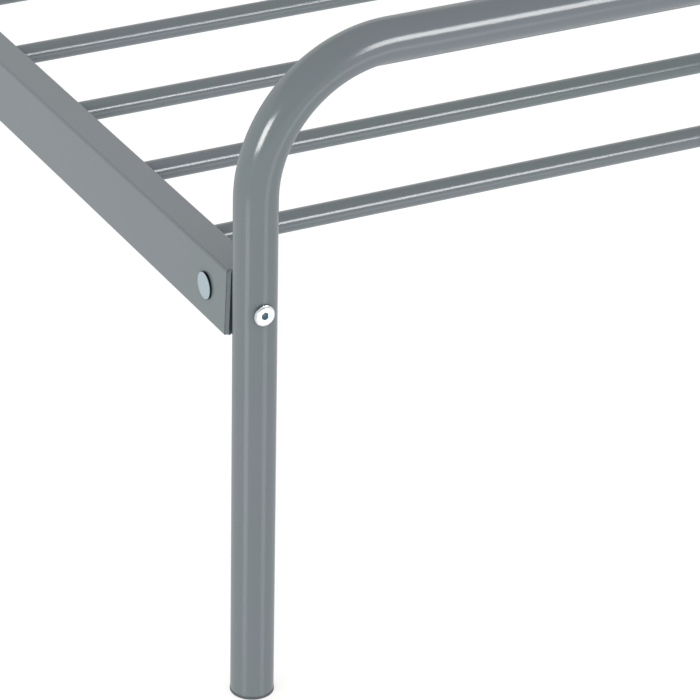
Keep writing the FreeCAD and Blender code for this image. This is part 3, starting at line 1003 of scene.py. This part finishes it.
class BED_OT_barrel_nuts(bpy.types.Operator):
    """Make the four disc-headed barrel nuts in the rails"""
    bl_idname = "bed.barrel_nuts"
    bl_label = "Barrel Nuts"

    def execute(self, context):
        sizes = context.scene.bed_fasteners
        zinc = finish_for(context, "zinc_nut")
        face = sizes.nut_head_thickness
        radius = NUT_RADIUS
        chamfer = sizes.nut_head_chamfer
        barrel = sizes.nut_barrel_diameter / 2
        end = face - (NUT_HIGH.x - NUT_LOW.x)
        end_chamfer = 0.0005
        rings = [pole(end),
                 circle(barrel - end_chamfer, end, RING_POINTS),
                 circle(barrel, end + end_chamfer, RING_POINTS),
                 circle(barrel, 0.0, RING_POINTS),
                 circle(radius - CHAMFER_BEND * chamfer, 0.0, RING_POINTS),
                 circle(radius, CHAMFER_BEND * chamfer, RING_POINTS),
                 circle(radius, face - chamfer, RING_POINTS),
                 circle(radius - CHAMFER_BEND * chamfer, face - CHAMFER_BEND * chamfer, RING_POINTS),
                 circle(radius - chamfer, face, RING_POINTS),
                 circle(radius * 0.5, face, RING_POINTS),
                 pole(face)]
        nut = loft("barrel_nut", rings)
        face_map(nut)
        nut.transform(Matrix.Rotation(-math.pi / 2, 4, "Y"))
        nuts = at_corners("barrel_nuts", nut, zinc, 2 * RAIL_OUTER_X, 2 * NUT_Y, BOLT_HEIGHT,
                          turn_across=1.0)
        place_piece("barrel_nuts", nuts, zinc, [f"barrel_nut_{place}" for place in PLACES])
        return {"FINISHED"}


class BED_OT_foot_plugs(bpy.types.Operator):
    """Make the four finned plastic plugs under the legs"""
    bl_idname = "bed.foot_plugs"
    bl_label = "Foot Plugs"

    def execute(self, context):
        sizes = context.scene.bed_fasteners
        plastic = finish_for(context, "grey_plastic")
        radius = (PLUG_HIGH.x - PLUG_LOW.x) / 2
        bore = LEG_RADIUS - context.scene.bed_ends.tube_wall
        stem_clearance = 0.0009
        fin_clearance = 0.00005
        flange_chamfer = 0.0003
        fin_count = 3
        rounding_steps = 6
        stem = bore - stem_clearance
        fin_reach = bore - fin_clearance
        rounding = sizes.plug_rounding
        top = PLUG_HIGH.z
        fin_pitch = (top - LEG_BOTTOM) / (fin_count + 1)
        turns = [math.pi / 2 * step / rounding_steps for step in range(rounding_steps + 1)]
        rings = [pole(0.0)]
        rings += [circle(radius - rounding * (1 - math.sin(turn)), rounding * (1 - math.cos(turn)),
                         RING_POINTS) for turn in turns]
        rings += [circle(radius, LEG_BOTTOM - flange_chamfer, RING_POINTS),
                  circle(radius - flange_chamfer, LEG_BOTTOM, RING_POINTS),
                  circle(stem, LEG_BOTTOM, RING_POINTS)]
        for fin in range(1, fin_count + 1):
            low = LEG_BOTTOM + fin * fin_pitch - sizes.plug_fin / 2
            rings += [circle(stem, low, RING_POINTS), circle(fin_reach, low, RING_POINTS),
                      circle(fin_reach, low + sizes.plug_fin, RING_POINTS),
                      circle(stem, low + sizes.plug_fin, RING_POINTS)]
        rings += [circle(stem, top, RING_POINTS), circle(stem - sizes.plug_wall, top, RING_POINTS),
                  circle(stem - sizes.plug_wall, LEG_BOTTOM, RING_POINTS), pole(LEG_BOTTOM)]
        plug = loft("foot_plug", rings)
        plugs = at_corners("foot_plugs", plug, plastic, 2 * LEG_X, 2 * END_Y, 0.0)
        place_piece("foot_plugs", plugs, plastic,
                    [f"foot_plug_{place}" for place in PLACES])
        return {"FINISHED"}


# ---------------------------------------------------------------- studio
WHITE = (1.0, 1.0, 1.0, 1.0)
FLOOR_SIZE = 80.0
SOFTBOX_WIDTH = 1.1
SOFTBOX_HEIGHT = 0.98
SOFTBOX_DISTANCE = 3.0

# Each light's name, azimuth and elevation in degrees, the setting that holds its power, whether shiny
# surfaces mirror it (or else it shades the bed), and its tint.
SOFTBOXES = (
    ("right_softbox_shine", 28, 15.5, "shine", True, (1.0, 1.0, 1.0)),
    ("left_softbox_shine", -67, 15, "left_shine", True, (1.0, 1.0, 1.0)),
    ("right_softbox_fill", 28, 16, "fill", False, (1.0, 0.94, 1.0)),
    ("left_softbox_fill", -67, 15, "left_fill", False, (1.0, 0.97, 0.975)),
)

# Where the room's parts begin and where they are full, along the direction's Y or Z.
BACK_FADE = (-0.3, 0.5)
CEILING_FADE = (0.5, 0.62)
OVERHEAD_FADE = (0.2, 0.9)

FLOOR_ROUGHNESS = 0.14
FLOOR_EXTRA_GLOW = 0.07


def heading(azimuth, elevation):
    """A direction out of the bed's foot end. Azimuth 0 is along -Y and 90 along +X."""
    return Vector((math.sin(azimuth) * math.cos(elevation), -math.cos(azimuth) * math.cos(elevation),
                   math.sin(elevation)))


def softbox(name, azimuth, elevation, power, seen_by_gloss, tint):
    """A broad light, turned to the corner of the bed that faces the camera."""
    corner = Vector((-LEG_X, -END_Y, FOOT_ARCH_HEIGHT - LEG_RADIUS))
    toward = heading(math.radians(azimuth), math.radians(elevation))
    data = bpy.data.lights.new(name, "AREA")
    data.shape = "RECTANGLE"
    data.size = SOFTBOX_WIDTH
    data.size_y = SOFTBOX_HEIGHT
    data.energy = power
    data.color = tint
    lamp = bpy.data.objects.new(name, data)
    lamp.location = corner + toward * SOFTBOX_DISTANCE
    lamp.rotation_euler = toward.to_track_quat("Z", "Y").to_euler()
    lamp.visible_camera = False
    lamp.visible_glossy = seen_by_gloss
    lamp.visible_diffuse = not seen_by_gloss
    bpy.context.scene.collection.objects.link(lamp)


def studio_world(studio):
    """A white background for the camera, in a room that lights the bed and shows in its shine."""
    world = bpy.data.worlds.new("studio")
    world.use_nodes = True
    graph = Graph(world.node_tree)
    path = graph.add("ShaderNodeLightPath")
    background = path["Is Camera Ray"] + path["Is Transmission Ray"]
    shine = path["Is Glossy Ray"]
    direction = graph.add("ShaderNodeSeparateXYZ", {}, {"Vector": graph.add("ShaderNodeTexCoord")})
    toward_back = graph.smooth_step(direction["Y"], *BACK_FADE)
    under_ceiling = 1 - graph.smooth_step(direction["Z"], *CEILING_FADE)
    mirrored = studio.dim + toward_back * under_ceiling * (studio.behind - studio.dim)
    lighting = (1 - background - shine) * studio.ambient
    strength = background + shine * mirrored + lighting
    overhead = graph.smooth_step(direction["Z"], *OVERHEAD_FADE) * (1 - background - shine)
    tone = graph.blend(overhead, WHITE, rgba(studio.overhead))
    room = graph.add("ShaderNodeBackground", {}, {"Color": tone, "Strength": strength})
    graph.add("ShaderNodeOutputWorld", {}, {"Surface": room})
    bpy.context.scene.world = world


def floor_material(studio):
    """A pale lit floor that keeps soft shadows, mirrors the lights faintly, and is clear from below."""
    material = bpy.data.materials.new("pale_floor")
    material.use_nodes = True
    material.cycles.emission_sampling = "NONE"
    graph = Graph(material.node_tree)
    path = graph.add("ShaderNodeLightPath")
    seen_glow = studio.floor_glow + path["Is Camera Ray"] * FLOOR_EXTRA_GLOW
    glow = graph.add("ShaderNodeEmission", {}, {"Color": WHITE, "Strength": seen_glow})
    albedo = studio.floor_albedo
    scatter = graph.add("ShaderNodeBsdfDiffuse", {}, {"Color": (albedo, albedo, albedo, 1.0)})
    lit = graph.add("ShaderNodeAddShader", {}, {0: glow, 1: scatter})
    sheen = studio.floor_sheen
    own_glow = studio.floor_shine * (1.0 - sheen)
    pale = graph.add("ShaderNodeEmission", {}, {"Color": WHITE, "Strength": own_glow})
    mirror = graph.add("ShaderNodeBsdfGlossy", {}, {"Color": (sheen, sheen, sheen, 1.0),
                                                    "Roughness": FLOOR_ROUGHNESS})
    polished = graph.add("ShaderNodeAddShader", {}, {0: pale, 1: mirror})
    top = graph.add("ShaderNodeMixShader", {}, {0: path["Is Glossy Ray"], 1: lit, 2: polished})
    clear = graph.add("ShaderNodeBsdfTransparent")
    below = graph.add("ShaderNodeNewGeometry")["Backfacing"]
    both = graph.add("ShaderNodeMixShader", {}, {0: below, 1: top, 2: clear})
    graph.add("ShaderNodeOutputMaterial", {}, {"Surface": both})
    return material


def add_camera(studio):
    """A long lens on the bed's foot corner."""
    aim_inward = 0.0756
    aim_height = 0.262
    aim = Vector((-LEG_X + aim_inward, -END_Y, aim_height))
    back = heading(studio.azimuth, studio.elevation)
    forward = -back
    level = Vector((math.cos(studio.azimuth), math.sin(studio.azimuth), 0.0))
    above = level.cross(forward)
    right = level * math.cos(studio.roll) + above * math.sin(studio.roll)
    up = above * math.cos(studio.roll) - level * math.sin(studio.roll)
    data = bpy.data.cameras.new("camera")
    data.lens = studio.lens
    data.sensor_width = 36.0
    data.clip_start = 0.1
    data.clip_end = 200.0
    camera = bpy.data.objects.new("camera", data)
    camera.matrix_world = Matrix((right, up, back)).transposed().to_4x4()
    camera.location = aim + back * studio.distance
    bpy.context.scene.collection.objects.link(camera)
    bpy.context.scene.camera = camera


class BED_OT_studio(bpy.types.Operator):
    """Set up the floor, the lights and the camera"""
    bl_idname = "bed.studio"
    bl_label = "Studio"

    def execute(self, context):
        studio = context.scene.bed_studio
        half = FLOOR_SIZE / 2
        mesh = bpy.data.meshes.new("floor")
        mesh.from_pydata([(-half, -half, 0), (half, -half, 0), (half, half, 0), (-half, half, 0)], [],
                         [(0, 1, 2, 3)])
        mesh.materials.append(floor_material(studio))
        floor = bpy.data.objects.new("floor", mesh)
        context.scene.collection.objects.link(floor)
        studio_world(studio)
        for name, azimuth, elevation, power, seen_by_gloss, tint in SOFTBOXES:
            softbox(name, azimuth, elevation, getattr(studio, power), seen_by_gloss, tint)
        add_camera(studio)
        context.scene.view_settings.view_transform = "Standard"
        return {"FINISHED"}


# ---------------------------------------------------------------- the add-on
STEPS = (BED_OT_bent_ends, BED_OT_head_cross_tubes, BED_OT_side_rails, BED_OT_rail_saddles, BED_OT_slats,
         BED_OT_weld_beads, BED_OT_joint_bolts, BED_OT_barrel_nuts, BED_OT_foot_plugs, BED_OT_studio)
SETTINGS = {"bed_ends": BedEndSettings, "bed_base": BedBaseSettings, "bed_fasteners": FastenerSettings,
            "bed_finishes": FinishSettings, "bed_studio": StudioSettings}


class BED_PT_panel(bpy.types.Panel):
    """Lists the bed frame's settings and what makes each piece"""
    bl_label = "Bed Frame"
    bl_idname = "BED_PT_panel"
    bl_space_type = "VIEW_3D"
    bl_region_type = "UI"
    bl_category = "Bed Frame"

    def draw(self, context):
        for name, group in SETTINGS.items():
            box = self.layout.box()
            for setting in group.__annotations__:
                box.prop(getattr(context.scene, name), setting)
        for step in STEPS:
            self.layout.operator(step.bl_idname)


def register():
    for made in (*SETTINGS.values(), *STEPS, BED_PT_panel):
        bpy.utils.register_class(made)
    for name, group in SETTINGS.items():
        setattr(bpy.types.Scene, name, PointerProperty(type=group))


def unregister():
    for name in SETTINGS:
        delattr(bpy.types.Scene, name)
    for made in (BED_PT_panel, *reversed(STEPS), *SETTINGS.values()):
        bpy.utils.unregister_class(made)


def main():
    register()
    for step in STEPS:
        family, name = step.bl_idname.split(".")
        getattr(getattr(bpy.ops, family), name)()


if __name__ == "__main__":
    main()
